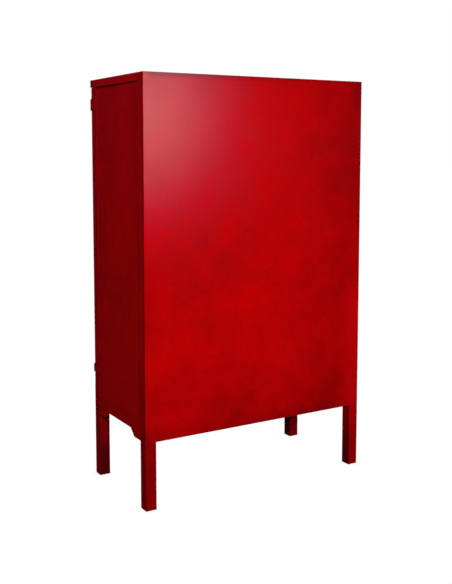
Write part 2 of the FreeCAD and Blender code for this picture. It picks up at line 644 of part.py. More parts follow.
        # moving leaf, on the face of the door
        n = base + "_door_leaf"
        whole = fuse(
            n + "_whole",
            cyl(n + "_knuckle", "z", s * ax, ay, kz[1], D["barrel_rad"]),
            box(n + "_plate", X(hw - D["leaf_long"], ax), (fy - D["leaf_thick"], fy), (low, low + tall)),
        )
        node(n, cut(
            n, whole,
            cyl(n + "_bore", "z", s * ax, ay, (low - 1, low + tall + 1), D["pin_rad"] + D["pin_run"]),
            box(n + "_clear_a", X(ax - 5.2, ax + 7), (ay - 7, fy + 2), (low - 1, kz[1][0])),
            box(n + "_clear_b", X(ax - 5.2, ax + 7), (ay - 7, fy + 2), (kz[1][1], low + tall + 1)),
            *[cyl("%s_hole_%d%d" % (n, k, j), "y", s * (hw - inn), (fy - 4, fy + 2), hz, D["nail_rad"] + D["nail_bore"])
              for k, hz in enumerate(zs) for j, inn in enumerate(door_nail_in)]
        ))
        # pin with a finial at each end
        n = base + "_pin"
        whole = fuse(
            n + "_whole",
            cyl(n + "_shaft", "z", s * ax, ay, (low - 1, low + tall + 1), D["pin_rad"]),
            cyl(n + "_foot", "z", s * ax, ay, (low - tip, low), D["barrel_rad"] - 0.7),
            cyl(n + "_head", "z", s * ax, ay, (low + tall, low + tall + tip), D["barrel_rad"] - 0.7),
        )
        node(n, soften(n, whole, tip.num * 0.6, lambda e, a=low - tip, b=low + tall + tip: along(e, z=a.num) or along(e, z=b.num)))
        for k, hz in enumerate(zs):
            m = "%s_post_nail_%d" % (base, k)
            post_nails.append(fuse(m, cyl(m + "_shank", "x", X(hw - D["nail_long"], hw + D["leaf_thick"] + 0.4), nail_y, hz, D["nail_rad"]),
                                   cap(m + "_head", "x", s, s * (hw + D["leaf_thick"]), nail_y, hz)))
            for j, inn in enumerate(door_nail_in):
                m = "%s_door_nail_%d%d" % (base, k, j)
                door_nails.append(fuse(m, cyl(m + "_shank", "y", s * (hw - inn), (fy - D["leaf_thick"] - 0.4, fy + D["nail_long"]), hz, D["nail_rad"]),
                                       cap(m + "_head", "y", -1, s * (hw - inn), fy - D["leaf_thick"], hz)))
    node("%s_hinge_post_nails" % side, group("%s_hinge_post_nails" % side, *post_nails))
    node("%s_hinge_door_nails" % side, group("%s_hinge_door_nails" % side, *door_nails))

    # half of the round lock plate
    n = "%s_lock_plate" % side
    disc = cyl(n + "_disc", "y", 0, (plate_y, fy), lock, D["plate_rad"])
    tools = [box(n + "_half", X(-D["plate_rad"] - 5, D["plate_gap"]), (plate_y - 2, fy + 2), (lock - D["plate_rad"] - 5, lock + D["plate_rad"] + 5))]
    for k, ex in enumerate((D["eye_near"], D["eye_far"])):
        tools.append(cyl("%s_eye_hole_%d" % (n, k), "y", s * ex, (plate_y - 2, fy + 2), lock, sb))
    tools.append(cyl(n + "_pull_hole", "y", s * D["pull_off"], (plate_y - 2, fy + 2), pull_z, sb))
    for k, (px, pz) in enumerate(NAILS_ON_PLATE):
        tools.append(cyl("%s_nail_hole_%d" % (n, k), "y", s * Q.of(px), (plate_y - 2, fy + 2), lock + pz, D["nail_rad"] + D["nail_bore"]))
    node(n, cut(n, disc, *tools))
    n = "%s_plate_nails" % side
    nails = []
    for k, (px, pz) in enumerate(NAILS_ON_PLATE):
        m = "%s_%d" % (n, k)
        nails.append(fuse(m, cyl(m + "_shank", "y", s * Q.of(px), (plate_y - 0.4, fy + D["nail_long"]), lock + pz, D["nail_rad"]),
                          cap(m + "_head", "y", -1, s * Q.of(px), plate_y, lock + pz)))
    node(n, group(n, *nails))

    # eyes for the lock bar
    n = "%s_lock_eyes" % side
    eyes = []
    ey = fy - D["eye_out"]
    for k, ex in enumerate((D["eye_near"], D["eye_far"])):
        m = "%s_%d" % (n, k)
        half = D["eye_thick"] / 2
        whole = fuse(
            m + "_whole",
            cyl(m + "_ring", "x", (s * ex - half, s * ex + half), ey, lock, D["eye_rad"]),
            box(m + "_neck", (s * ex - half, s * ex + half), (ey, plate_y), (lock - 4.5, lock + 4.5)),
            cyl(m + "_shank", "y", s * ex, (plate_y - 1, fy + D["shank_long"]), lock, D["shank_rad"]),
        )
        eyes.append(cut(m, whole, cyl(m + "_bore", "x", (s * ex - half - 2, s * ex + half + 2), ey, lock, D["eye_bore"])))
    node(n, group(n, *eyes))

    # staple of the pull, with its cross pin
    n = "%s_pull_staple" % side
    px = s * D["pull_off"]
    py = fy - D["pull_out"]
    e0, e1 = D["ear_in"], D["ear_in"] + D["ear_thick"]
    parts = [
        box(n + "_foot", (px - e1, px + e1), (plate_y - 1.4, plate_y), (pull_z - D["ear_rad"], pull_z + D["ear_rad"])),
        cyl(n + "_shank", "y", px, (plate_y - 1, fy + D["shank_long"]), pull_z, D["shank_rad"]),
        cyl(n + "_pin", "x", (px - e1 - 0.8, px + e1 + 0.8), py, pull_z, D["pull_pin"]),
    ]
    for k, (a, b) in enumerate(((px - e1, px - e0), (px + e0, px + e1))):
        parts.append(cyl("%s_ear_%d" % (n, k), "x", (a, b), py, pull_z, D["ear_rad"]))
        parts.append(box("%s_arm_%d" % (n, k), (a, b), (py, plate_y), (pull_z - D["ear_rad"], pull_z + D["ear_rad"])))
    node(n, fuse(n, *parts))

    # hanging pull
    n = "%s_pull" % side
    pz = pull_z
    drop = D["pull_long"]
    prof = [(-3.4, -1.5), (-3.4, -9), (-5.2, -14), (-5.2, -17), (-4, -20), (-8.5, -44), (-9.5, -50), (-8.5, -55.5), (-5, -60),
            (0, -62), (5, -60), (8.5, -55.5), (9.5, -50), (8.5, -44), (4, -20), (5.2, -17), (5.2, -14), (3.4, -9), (3.4, -1.5)]
    corners = [(px + a, pz + Q.of(b) * (drop / 62)) for a, b in prof]
    half = D["pull_thick"] / 2
    blade = prism(n + "_blade", "XZ_Plane", corners, -(py + half), D["pull_thick"])
    whole = fuse(n + "_whole", blade, cyl(n + "_loop", "x", (px - D["loop_half"], px + D["loop_half"]), py, pz, D["loop_rad"]))
    node(n, cut(n, whole, cyl(n + "_bore", "x", (px - 9, px + 9), py, pz, D["pull_pin"] + D["pin_run"])))

# ---------------------------------------------------------------- lock bar, drawn back into the right door
n = "lock_bar"
ey = fy - D["eye_out"]
b0 = D["bar_start"]
b1 = b0 + D["bar_long"]
kr = D["knob_rad"]
knob = doc.addObject("Part::Sphere", n + "_knob")
knob.setExpression("Radius", kr.text)
for key, v in (("x", b1), ("y", ey), ("z", lock)):
    knob.setExpression("Placement.Base." + key, v.text)
whole = fuse(
    n + "_whole",
    cyl(n + "_rod", "x", (b0, b1), ey, lock, D["bar_rad"]),
    cyl(n + "_collar", "x", (b1 - kr - 2, b1 - kr + 1), ey, lock, D["bar_rad"] + 1.6),
    knob,
)
node(n, soften(n, whole, 0.8, lambda e: near(e.BoundBox.XMin, b0.num) and near(e.BoundBox.XMax, b0.num)))

# ---------------------------------------------------------------- check and write
doc.recompute()
for o in doc.Objects:
    if "Invalid" in o.State or "Error" in o.State:
        raise RuntimeError("%s: %s" % (o.Label, o.State))
os.makedirs("parts", exist_ok=True)
for label, o in NODES:
    if o.Shape.isNull() or not o.Shape.isValid() or not o.Shape.Solids:
        raise RuntimeError("bad shape: " + label)
    print("%-32s solids %d volume %.1f" % (label, len(o.Shape.Solids), o.Shape.Volume))
    o.Shape.exportStep("parts/%s.step" % label)
print(len(NODES), "nodes")
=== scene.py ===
import bpy
import bmesh
import json
import math
from mathutils import Matrix, Vector


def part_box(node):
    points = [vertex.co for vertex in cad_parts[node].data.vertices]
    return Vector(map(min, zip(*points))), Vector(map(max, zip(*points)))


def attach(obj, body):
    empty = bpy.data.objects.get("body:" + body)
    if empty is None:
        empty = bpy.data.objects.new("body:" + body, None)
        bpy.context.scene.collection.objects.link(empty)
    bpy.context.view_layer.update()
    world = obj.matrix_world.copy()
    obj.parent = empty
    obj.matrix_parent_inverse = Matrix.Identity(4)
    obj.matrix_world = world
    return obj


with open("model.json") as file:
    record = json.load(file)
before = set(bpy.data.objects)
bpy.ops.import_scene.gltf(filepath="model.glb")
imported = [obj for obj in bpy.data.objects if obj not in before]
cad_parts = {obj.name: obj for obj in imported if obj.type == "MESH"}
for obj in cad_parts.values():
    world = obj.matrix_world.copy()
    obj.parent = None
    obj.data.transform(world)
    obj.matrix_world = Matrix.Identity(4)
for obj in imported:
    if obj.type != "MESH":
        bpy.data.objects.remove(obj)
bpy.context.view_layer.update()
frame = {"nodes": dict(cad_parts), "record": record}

NODES = frame["nodes"]
SCENE = bpy.context.scene
SCENE.view_settings.view_transform = "Standard"
SCENE.view_settings.look = "None"


# ------------------------------------------------------------------ node helpers
class Graph:
    """A short way to write a shader graph."""

    def __init__(self, name):
        self.mat = bpy.data.materials.new(name)
        self.mat.use_nodes = True
        self.tree = self.mat.node_tree
        self.tree.nodes.clear()
        self.out = self.tree.nodes.new("ShaderNodeOutputMaterial")
        self.bsdf = self.tree.nodes.new("ShaderNodeBsdfPrincipled")
        self.link(self.bsdf.outputs[0], self.out.inputs["Surface"])
        self.coord = self.tree.nodes.new("ShaderNodeTexCoord").outputs["Object"]

    def link(self, a, b):
        self.tree.links.new(a, b)

    def put(self, socket, value):
        if isinstance(value, bpy.types.NodeSocket):
            self.link(value, socket)
        else:
            socket.default_value = value

    def math(self, op, a, b=0.0, c=None, clamp=False):
        n = self.tree.nodes.new("ShaderNodeMath")
        n.operation = op
        n.use_clamp = clamp
        self.put(n.inputs[0], a)
        self.put(n.inputs[1], b)
        if c is not None:
            self.put(n.inputs[2], c)
        return n.outputs[0]

    def scaled(self, scale, offset=(0, 0, 0)):
        n = self.tree.nodes.new("ShaderNodeMapping")
        self.link(self.coord, n.inputs["Vector"])
        n.inputs["Scale"].default_value = scale
        n.inputs["Location"].default_value = offset
        return n.outputs[0]

    def noise(self, vector, scale, detail=4.0, rough=0.55, distort=0.0):
        n = self.tree.nodes.new("ShaderNodeTexNoise")
        self.link(vector, n.inputs["Vector"])
        n.inputs["Scale"].default_value = scale
        n.inputs["Detail"].default_value = detail
        n.inputs["Roughness"].default_value = rough
        n.inputs["Distortion"].default_value = distort
        return n.outputs["Fac"]

    def span(self, value, lo, hi, to_lo=0.0, to_hi=1.0, smooth=True):
        n = self.tree.nodes.new("ShaderNodeMapRange")
        n.interpolation_type = "SMOOTHSTEP" if smooth else "LINEAR"
        self.put(n.inputs["Value"], value)
        n.inputs["From Min"].default_value = lo
        n.inputs["From Max"].default_value = hi
        n.inputs["To Min"].default_value = to_lo
        n.inputs["To Max"].default_value = to_hi
        return n.outputs["Result"]

    def mix(self, fac, a, b, how="MIX"):
        n = self.tree.nodes.new("ShaderNodeMix")
        n.data_type = "RGBA"
        n.blend_type = how
        n.clamp_factor = True
        self.put(n.inputs[0], fac)
        self.put(n.inputs[6], a if isinstance(a, bpy.types.NodeSocket) else (*a, 1.0))
        self.put(n.inputs[7], b if isinstance(b, bpy.types.NodeSocket) else (*b, 1.0))
        return n.outputs[2]

    def axis(self, which):
        n = self.tree.nodes.new("ShaderNodeSeparateXYZ")
        self.link(self.coord, n.inputs[0])
        return n.outputs[which]

    def hollow(self, reach):
        """1 in the open, falling towards 0 deep in a corner."""
        n = self.tree.nodes.new("ShaderNodeAmbientOcclusion")
        n.samples = 6
        n.inputs["Distance"].default_value = reach
        return n.outputs["AO"]

    def arris(self, radius):
        """0 on a flat face, rising at a sharp edge."""
        b = self.tree.nodes.new("ShaderNodeBevel")
        b.samples = 4
        b.inputs["Radius"].default_value = radius
        g = self.tree.nodes.new("ShaderNodeNewGeometry")
        d = self.tree.nodes.new("ShaderNodeVectorMath")
        d.operation = "DOT_PRODUCT"
        self.link(b.outputs[0], d.inputs[0])
        self.link(g.outputs["True Normal"], d.inputs[1])
        return self.math("SUBTRACT", 1.0, d.outputs["Value"], clamp=True)

    def bump(self, height, strength, distance, normal=None):
        n = self.tree.nodes.new("ShaderNodeBump")
        n.inputs["Strength"].default_value = strength
        n.inputs["Distance"].default_value = distance
        self.link(height, n.inputs["Height"])
        if normal is not None:
            self.link(normal, n.inputs["Normal"])
        return n.outputs[0]


GRAIN = {"x": (3.0, 70.0, 70.0), "y": (70.0, 3.0, 70.0), "z": (70.0, 70.0, 3.0)}


def lacquer(name, along, post=False, back=False, field=None, dull=0.0, metal=False, smoky=1.0):
    """Old red lacquer under dark glazing: smoky clouding, burnished edges, painted shade and old polish in the
    recesses, faint grain.

    post: a post, whose leg is glazed darker and whose faces turned in under the case carry painted shade; back: the
    wide back board, with painted shade fitted over it; field: (axis, axis, lo, hi, lo, hi) of a framed panel, glazed
    towards its frame; dull: extra roughness; smoky: how dark the clouding is."""
    g = Graph(name)
    grain = g.noise(g.scaled(GRAIN[along]), 1.0, 5.0, 0.6, 0.3)
    drift = g.noise(g.scaled((1, 1, 1), (7.3, 2.2, 5.1)), 3.1, 2.0, 0.5)
    cloud = g.noise(g.scaled((1, 1, 1), (3.1, 1.7, 0.4)), 9.5, 3.0, 0.55)
    puff = g.noise(g.scaled((1, 1, 1), (1.9, 5.3, 2.7)), 25.0, 4.0, 0.55, 0.5)
    speck = g.noise(g.scaled((1, 1, 1), (1.3, 9.2, 2.1)), 170.0, 3.0, 0.6)
    smoke = g.math("ADD", g.math("MULTIPLY", drift, 0.41), g.math("MULTIPLY", cloud, 0.36))
    smoke = g.math("ADD", smoke, g.math("MULTIPLY", puff, 0.23))
    dark = g.span(smoke, 0.36, 0.66, smooth=False)
    if back:
        # the clouding is fainter over the upper near part of the back, all but the smallest
        calm = g.math("MULTIPLY", g.span(g.axis(2), 0.98, 1.34), g.span(g.axis(0), -0.32, -0.04, 0.0, 0.62))
        small = g.math("MULTIPLY", g.math("SUBTRACT", puff, 0.5), 0.62)
        dark = g.math("ADD", dark, g.math("MULTIPLY", calm, g.math("ADD", small, g.math("SUBTRACT", 0.46, dark))), clamp=True)
    if smoky != 1.0:
        dark = g.math("MULTIPLY", dark, smoky)
    col = g.mix(dark, (0.515, 0.0002, 0.0008), (0.325, 0.0002, 0.0006))
    if not back:
        # the red cools a little towards the top
        cool = g.mix(dark, (0.515, 0.0002, 0.0055), (0.325, 0.0002, 0.0040))
        col = g.mix(g.span(g.axis(2), 0.85, 1.70), col, cool)
    streak = 0.20 if field and field[0] == 1 else 0.08
    col = g.mix(g.math("MULTIPLY", g.span(grain, 0.55, 0.80), streak), col, (0.200, 0.0004, 0.0012))
    # dark glaze left along the edges of each board
    uneven = g.span(cloud, 0.36, 0.62, 0.55, 1.0)
    glaze_and_shade = g.math("MULTIPLY", g.span(g.arris(0.013 if post else 0.006), 0.004, 0.20), uneven)
    tint = (0.085, 0.0006, 0.0022)
    if back:
        x, z = g.axis(0), g.axis(2)
        # painted shade: the back darkens towards its far side, where its light falls off
        side = g.math("MULTIPLY", g.span(x, -0.18, -0.54), g.span(z, 0.66, 1.20))
        foot = g.math("MULTIPLY", g.span(z, 0.350, 0.272), g.span(cloud, 0.38, 0.60, 0.40, 0.78))
        foot = g.math("MULTIPLY", foot, g.span(x, -0.50, -0.34, 0.05, 1.0))
        foot = g.math("MULTIPLY", foot, g.span(x, 0.50, -0.05, 0.55, 1.0))
        # painted shade low down in the middle of the back
        low = g.math("MULTIPLY", g.span(z, 0.66, 0.30), g.math("MULTIPLY", g.span(x, 0.10, -0.22), g.span(x, -0.48, -0.34)))
        foot = g.math("MAXIMUM", foot, g.math("MULTIPLY", low, 0.26))
        head = g.math("MULTIPLY", g.span(z, 1.680, 1.6975), 0.62)
        head = g.math("MAXIMUM", head, g.math("MULTIPLY", g.span(z, 1.668, 1.694), g.span(x, -0.10, 0.44, 0.30, 0.88)))
        head = g.math("MULTIPLY", head, g.span(x, 0.526, 0.490, 0.15, 1.0))
        upper_glaze_and_shade = g.math("MULTIPLY", g.span(z, 1.600, 1.690), g.span(cloud, 0.40, 0.62, 0.06, 0.26))
        # painted shade that dims the upper near part of the back
        upper_near_shade = g.math("MULTIPLY", g.span(x, 0.02, 0.36), g.span(z, 1.05, 1.40))
        upper_glaze_and_shade = g.math("MAXIMUM", upper_glaze_and_shade, g.math("MULTIPLY", upper_near_shade, 0.17))
        wing = g.math("MULTIPLY", g.span(x, -0.10, -0.40), g.span(z, 1.45, 1.60))
        upper_glaze_and_shade = g.math("MAXIMUM", upper_glaze_and_shade, g.math("MULTIPLY", wing, 0.36))
        tip = g.math("MULTIPLY", g.span(x, -0.38, -0.51), g.span(z, 1.48, 1.62))
        upper_glaze_and_shade = g.math("MAXIMUM", upper_glaze_and_shade, g.math("MULTIPLY", tip, 0.74))
        near = g.math("MULTIPLY", g.span(x, 0.42, 0.53), g.math("MULTIPLY", g.span(z, 0.55, 0.78), g.span(z, 1.02, 0.84)))
        wide = g.math("MAXIMUM", g.math("MULTIPLY", side, 0.43), g.math("MULTIPLY", near, 0.48))
        wide = g.math("MAXIMUM", wide, g.math("MAXIMUM", foot, g.math("MAXIMUM", head, upper_glaze_and_shade)))
        glaze_and_shade = g.math("MAXIMUM", g.math("MULTIPLY", glaze_and_shade, 0.12), wide)
        # the board's own thickness, seen at its two ends
        ends = g.math("GREATER_THAN", g.math("ABSOLUTE", x), 0.5283)
        glaze_and_shade = g.math("MAXIMUM", glaze_and_shade, g.math("MULTIPLY", ends, 0.95))
        # lighter red along the lower far edge
        paler_far_edge = g.math("MULTIPLY", g.span(x, -0.40, -0.49), g.math("MULTIPLY", g.span(z, 0.90, 0.72), g.span(z, 0.26, 0.30)))
        col = g.mix(g.math("MULTIPLY", paler_far_edge, 0.85), col, (0.520, 0.0003, 0.0020))
    if field:
        i, j, a0, a1, b0, b1 = field
        u, v = g.axis(i), g.axis(j)
        du = g.math("MINIMUM", g.math("SUBTRACT", u, a0), g.math("SUBTRACT", a1, u))
        dv = g.math("MINIMUM", g.math("SUBTRACT", v, b0), g.math("SUBTRACT", b1, v))
        rim = g.span(g.math("MINIMUM", du, dv), 0.0, 0.022, 1.0, 0.0)
        glaze_and_shade = g.math("MAXIMUM", glaze_and_shade, g.math("MULTIPLY", rim, g.math("MULTIPLY", uneven, 0.45)))
        if i == 1:
            rear = g.math("MULTIPLY", g.span(u, a1 - 0.180, a1 - 0.020), g.span(v, 0.92, 1.32, 0.04, 0.36))
            glaze_and_shade = g.math("MAXIMUM", glaze_and_shade, rear)
            # the lower part of a side is a little clearer
            col = g.mix(g.span(v, 0.80, 0.50, 0.0, 0.55), col, (0.515, 0.0002, 0.0008))
    if post:
        x, y, z = g.axis(0), g.axis(1), g.axis(2)
        outside = g.math("GREATER_THAN", g.math("ABSOLUTE", x), 0.5275)
        # the outer sides of the front pair are cleaner above the legs
        clean = g.math("MULTIPLY", g.math("MULTIPLY", outside, g.math("LESS_THAN", y, 0.0)), g.span(z, 0.27, 0.36))
        clean = g.math("SUBTRACT", 1.0, g.math("MULTIPLY", clean, 0.70))
        glaze_and_shade = g.math("MULTIPLY", glaze_and_shade, clean)
        tint = g.mix(g.span(z, 0.27, 0.36), tint, (0.085, 0.0006, 0.0062))
        leg = g.math("MULTIPLY", g.span(z, 0.360, 0.275), g.span(z, 0.02, 0.22, 0.46, 1.0))
        leg = g.math("MULTIPLY", leg, g.span(puff, 0.35, 0.60, 0.80, 1.0))
        # the far rear leg only darkens downwards
        left = g.math("LESS_THAN", x, 0.0)
        behind = g.math("MULTIPLY", left, g.math("GREATER_THAN", y, 0.0))
        rest = g.math("SUBTRACT", 1.0, behind)
        leg = g.math("MULTIPLY", g.math("MULTIPLY", leg, 0.62), rest)
        leg = g.math("ADD", leg, g.math("MULTIPLY", behind, g.span(z, 0.24, 0.08, 0.0, 0.44)))
        glaze_and_shade = g.math("MULTIPLY", glaze_and_shade, g.math("SUBTRACT", 1.0, g.math("MULTIPLY", behind, g.span(z, 0.10, 0.22, 0.0, 0.70))))
        glaze_and_shade = g.math("MAXIMUM", glaze_and_shade, leg)
        glaze_and_shade = g.math("MAXIMUM", glaze_and_shade, g.math("MULTIPLY", g.math("MULTIPLY", uneven, clean), g.math("MULTIPLY", rest, 0.20)))
        # the outer sides darken towards the rear
        flank = g.math("MULTIPLY", outside, g.span(y, 0.205, 0.242, 0.12, 0.42))
        glaze_and_shade = g.math("MAXIMUM", glaze_and_shade, flank)
        # and a dark line stays along the inner edge of the front pair
        seam = g.math("MULTIPLY", g.span(y, -0.2030, -0.1985), g.math("LESS_THAN", y, 0.0))
        seam = g.math("MULTIPLY", g.math("MULTIPLY", outside, seam), g.span(z, 0.262, 0.290, 0.0, 0.85))
        glaze_and_shade = g.math("MAXIMUM", glaze_and_shade, seam)
        # painted shade on the faces turned in under the case, darkest low down
        far = g.math("MULTIPLY", left, g.math("LESS_THAN", y, 0.0))
        far = g.math("SUBTRACT", 1.0, g.math("MULTIPLY", far, 0.92))
        inner = g.math("LESS_THAN", g.math("ABSOLUTE", x), 0.4830)
        inner = g.math("MULTIPLY", inner, g.math("LESS_THAN", z, 0.272))
        deep = g.math("MULTIPLY", g.span(y, 0.212, 0.246, 1.12, 1.30), g.span(z, 0.06, 0.25, 1.0, 0.52))
        deep = g.math("MAXIMUM", deep, g.math("MULTIPLY", g.math("LESS_THAN", y, 0.0), 1.26))
        glaze_and_shade = g.math("MAXIMUM", glaze_and_shade, g.math("MULTIPLY", inner, deep))
        inner = g.math("LESS_THAN", g.math("ABSOLUTE", g.math("SUBTRACT", y, 0.0095)), 0.2005)
        inner = g.math("MULTIPLY", inner, g.math("MULTIPLY", far, g.span(z, 0.30, 0.06, 0.66, 1.36)))
        glaze_and_shade = g.math("MAXIMUM", glaze_and_shade, inner)
    if along == "x":
        # end grain takes up more glaze
        ends = g.math("GREATER_THAN", g.math("ABSOLUTE", g.axis(0)), 0.5275)
        glaze_and_shade = g.math("MAXIMUM", glaze_and_shade, g.math("MULTIPLY", ends, 0.36))
    # the glaze and the painted shade gathered above darken the red together
    col = g.mix(g.math("MULTIPLY", glaze_and_shade, 0.72), col, tint)
    # painted shade in the corners and recesses, with old polish gathered there
    pit = g.span(g.hollow(0.016), 0.42, 0.90, 1.0, 0.0)
    col = g.mix(g.math("MULTIPLY", pit, 0.34 if field and field[0] == 1 else 0.62), col, (0.045, 0.0008, 0.0010))
    # sharp edges rubbed down to the dark ground coat, in places
    rub = g.math("MULTIPLY", g.span(g.arris(0.0018), 0.05, 0.22), g.span(puff, 0.46, 0.60))
    rub = g.math("MULTIPLY", rub, 0.08 if back or post else 0.36)
    col = g.mix(rub, col, (0.070, 0.006, 0.005))
    g.link(col, g.bsdf.inputs["Base Color"])
    rough = g.math("ADD", g.span(smoke, 0.40, 0.62, 0.20 + dull, 0.25 + dull), g.math("MULTIPLY", rub, 0.30))
    rough = g.math("ADD", rough, g.math("MULTIPLY", pit, 0.25), clamp=True)
    g.link(rough, g.bsdf.inputs["Roughness"])
    n = g.bump(g.noise(g.scaled((1, 1, 1), (4.4, 0.3, 8.8)), 30.0, 2.0, 0.5), 0.07, 0.0012)
    n = g.bump(grain, 0.05, 0.0006, n)
    n = g.bump(speck, 0.04, 0.0003, n)
    g.link(n, g.bsdf.inputs["Normal"])
    if back:
        # the polish is a little uneven
        g.link(g.span(puff, 0.30, 0.70, 0.455, 0.545, smooth=False), g.bsdf.inputs["Specular IOR Level"])
    else:
        g.bsdf.inputs["Specular IOR Level"].default_value = 0.5
    if metal:
        g.bsdf.inputs["Coat Weight"].default_value = 0.15
    return g.mat


def inner_wood(name, along):
    """Oiled softwood of the inside."""
    g = Graph(name)
    st = {"x": (1.2, 16.0, 16.0), "y": (16.0, 1.2, 16.0), "z": (16.0, 16.0, 1.2)}[along]
    wide = g.noise(g.scaled(st), 1.0, 4.0, 0.55, 1.2)
    ring = g.math("FRACT", g.math("MULTIPLY", wide, 9.0))
    ring = g.math("MULTIPLY", g.span(ring, 0.0, 0.75), g.span(ring, 1.0, 0.80))
    pore = g.noise(g.scaled(tuple(v * 14 for v in st)), 1.0, 3.0, 0.6)
    tone = g.noise(g.coord, 3.0, 2.0, 0.5)
    col = g.mix(g.span(tone, 0.3, 0.7), (0.330, 0.165, 0.070), (0.420, 0.225, 0.105))
    col = g.mix(g.math("MULTIPLY", ring, 0.45), col, (0.190, 0.085, 0.034))
    col = g.mix(g.math("MULTIPLY", g.span(pore, 0.58, 0.75), 0.5), col, (0.120, 0.052, 0.022))
    # painted shade: the wood darkens deep in corners and recesses
    pit = g.span(g.hollow(0.03), 0.4, 0.95, 1.0, 0.0)
    col = g.mix(g.math("MULTIPLY", pit, 0.5), col, (0.060, 0.028, 0.014))
    g.link(col, g.bsdf.inputs["Base Color"])
    g.link(g.span(pore, 0.3, 0.8, 0.52, 0.70), g.bsdf.inputs["Roughness"])
    g.link(g.bump(pore, 0.18, 0.0006, g.bump(ring, 0.08, 0.0008)), g.bsdf.inputs["Normal"])
    g.bsdf.inputs["Specular IOR Level"].default_value = 0.35
    return g.mat


def old_brass(name):
    """Yellow brass, browned in the hollows and rubbed bright on the edges."""
    g = Graph(name)
    big = g.noise(g.coord, 38.0, 4.0, 0.6, 0.5)
    fine = g.noise(g.scaled((1, 1, 1), (2.0, 4.0, 6.0)), 420.0, 3.0, 0.6)
    brush = g.noise(g.scaled((900.0, 900.0, 60.0)), 1.0, 2.0, 0.5)
    col = g.mix(g.span(big, 0.35, 0.68), (0.640, 0.430, 0.150), (0.420, 0.245, 0.075))
    col = g.mix(g.math("MULTIPLY", g.span(fine, 0.58, 0.74), 0.45), col, (0.180, 0.095, 0.035))
    pit = g.span(g.hollow(0.008), 0.35, 0.95, 1.0, 0.0)
    col = g.mix(g.math("MULTIPLY", pit, 0.80), col, (0.085, 0.046, 0.020))
    edge = g.span(g.arris(0.0008), 0.02, 0.22)
    col = g.mix(g.math("MULTIPLY", edge, 0.55), col, (0.820, 0.600, 0.270))
    g.link(col, g.bsdf.inputs["Base Color"])
    g.bsdf.inputs["Metallic"].default_value = 1.0
    rough = g.math("ADD", g.span(big, 0.3, 0.7, 0.26, 0.42), g.math("MULTIPLY", pit, 0.25), clamp=True)
    g.link(rough, g.bsdf.inputs["Roughness"])
    g.link(g.bump(brush, 0.05, 0.0002, g.bump(big, 0.10, 0.0008)), g.bsdf.inputs["Normal"])
    return g.mat


LAC = {a: lacquer("red_lacquer_" + a, a) for a in "xyz"}
LAC_POST = lacquer("red_lacquer_post", "z", post=True)
LAC_BACK = lacquer("red_lacquer_back", "z", back=True, dull=-0.04)
LAC_TOP = lacquer("red_lacquer_top", "x", dull=0.22)
LAC_RAIL = lacquer("red_lacquer_rail", "y", smoky=0.25)
LAC_METAL = lacquer("lacquered_metal", "z", metal=True)
WOOD = {a: inner_wood("inner_wood_" + a, a) for a in "xyz"}
BRASS = old_brass("old_brass")


def paint(obj, mat):
    obj.data.materials.clear()
    obj.data.materials.append(mat)


def framed(name, i, j):
    lo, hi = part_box(name)
    inset = 0.008
    return lacquer("red_lacquer_" + name, "z", field=(i, j, lo[i] + inset, hi[i] - inset, lo[j] + inset, hi[j] - inset))


SLOT = {s["node"]: s["material_slot"] for s in frame["record"]["subparts"]}
for name, obj in NODES.items():
    lo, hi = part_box(name)
    size = [hi[i] - lo[i] for i in range(3)]
    along = "xyz"[size.index(max(size))]
    kind = SLOT[name]
    if name.endswith("battens"):
        along = "x"
    if name.endswith("cleats"):
        along = "y"
    if kind == "red_lacquer":
        if name.endswith("_post"):
            paint(obj, LAC_POST)
        elif name == "back_panel":
            paint(obj, LAC_BACK)
        elif name == "top_panel":
            paint(obj, LAC_TOP)
        elif name in ("top_left_rail", "top_right_rail"):
            paint(obj, LAC_RAIL)
        elif name.endswith("side_panel"):
            paint(obj, framed(name, 1, 2))
        elif name.endswith("door_panel"):
            paint(obj, framed(name, 0, 2))
        else:
            paint(obj, LAC[along])
    elif kind == "inner_wood":
        paint(obj, WOOD[along])
    elif kind == "brass":
        paint(obj, BRASS)
    else:
        paint(obj, LAC_METAL)


# ------------------------------------------------------------------ eased edges
def node_group(name):
    tree = bpy.data.node_groups.new(name, "GeometryNodeTree")
    tree.interface.new_socket("Geometry", in_out="INPUT", socket_type="NodeSocketGeometry")
    tree.interface.new_socket("Geometry", in_out="OUTPUT", socket_type="NodeSocketGeometry")
    return tree, tree.nodes.new("NodeGroupInput"), tree.nodes.new("NodeGroupOutput")


def weld_group():
    """Joins the faces of a board along their shared edges."""
    tree, a, b = node_group("weld_faces")
    drop = tree.nodes.new("GeometryNodeRemoveAttribute")
    drop.inputs["Name"].default_value = "custom_normal"
    weld = tree.nodes.new("GeometryNodeMergeByDistance")
    weld.inputs["Distance"].default_value = 1e-5
    tree.links.new(a.outputs[0], drop.inputs["Geometry"])
    tree.links.new(drop.outputs[0], weld.inputs["Geometry"])
    tree.links.new(weld.outputs[0], b.inputs[0])
    return tree


def smooth_group():
    """Smooth over gentle edges, sharp over the rest."""
    tree, a, b = node_group("smooth_by_angle")
    faces = tree.nodes.new("GeometryNodeSetShadeSmooth")
    faces.domain = "FACE"
    angle = tree.nodes.new("GeometryNodeInputMeshEdgeAngle")
    keen = tree.nodes.new("FunctionNodeCompare")
    keen.data_type = "FLOAT"
    keen.operation = "GREATER_THAN"
    keen.inputs["B"].default_value = math.radians(50)
    edges = tree.nodes.new("GeometryNodeSetShadeSmooth")
    edges.domain = "EDGE"
    edges.inputs["Shade Smooth"].default_value = False
    tree.links.new(a.outputs[0], faces.inputs["Geometry"])
    tree.links.new(faces.outputs[0], edges.inputs["Geometry"])
    tree.links.new(angle.outputs["Unsigned Angle"], keen.inputs["A"])
    tree.links.new(keen.outputs[0], edges.inputs["Selection"])
    tree.links.new(edges.outputs[0], b.inputs[0])
    return tree


